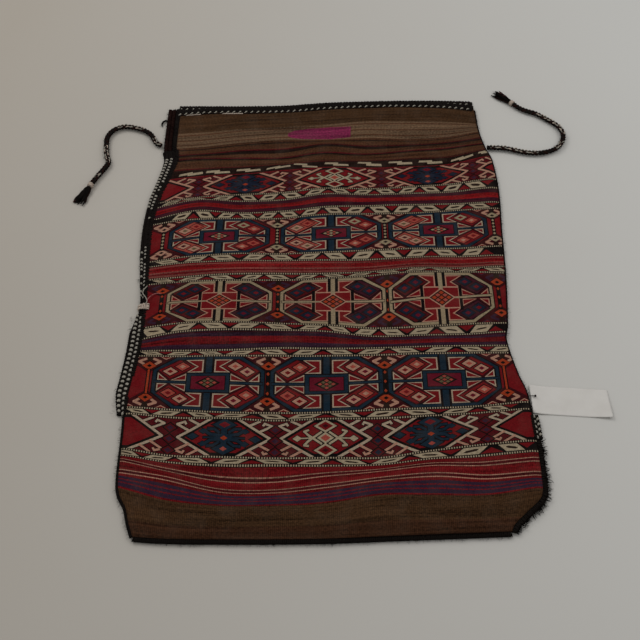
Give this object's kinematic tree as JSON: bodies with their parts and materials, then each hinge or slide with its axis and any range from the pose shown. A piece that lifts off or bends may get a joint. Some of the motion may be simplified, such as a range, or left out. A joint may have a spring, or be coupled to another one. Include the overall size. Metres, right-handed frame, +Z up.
{
  "type": "kilim saddle bag",
  "caption": "Flat woven wool pouch with brocaded bands of octagons and hooked diamonds, chain-braided seams and mouth, plaited ties and a blank ticket.",
  "frame": {"origin": "middle of the bag's flat underside, on the surface that it lies on", "axes": "+X along the woven bands to the right, +Y up the bag towards its mouth, +Z up out of the front"},
  "size_m": [0.9039, 0.9457, 0.0182],
  "materials": {
    "brocaded_wool": "brocaded and plain-woven dyed wool, matt",
    "plain_wool": "plain-woven undyed brown wool with thin stripes, matt",
    "hair_braid": "chain braid of dark goat hair and white cotton",
    "hair_wrapping": "overcast dark goat hair, hairy",
    "hair_cord": "plaited dark and grey goat hair, hairy",
    "pale_thread": "off-white cotton thread, matt",
    "ticket_paper": "plain white uncoated ticket, blank",
    "fastener_plastic": "small dark pin with a round head"
  },
  "bodies": {
    "root": {"front_panel": "brocaded_wool", "back_panel": "plain_wool", "mouth_braid_front": "hair_braid", "mouth_braid_back": "hair_braid", "left_selvedge_wrap": "hair_wrapping", "left_braid_upper": "hair_braid", "left_braid_middle": "hair_braid", "left_braid_lower": "hair_braid", "left_corner_wrap": "hair_wrapping", "right_side_seam": "hair_wrapping", "right_braid_stub": "hair_braid", "right_corner_binding": "hair_wrapping", "bottom_binding": "hair_wrapping", "left_tie_cord": "hair_cord", "left_cord_whipping": "pale_thread", "left_cord_tassel": "hair_cord", "right_tie_cord": "hair_cord", "right_cord_whipping": "pale_thread", "right_cord_tassel": "hair_cord", "repair_tie": "pale_thread", "hang_tag": "ticket_paper", "tag_fastener": "fastener_plastic"}
  },
  "joints": []
}
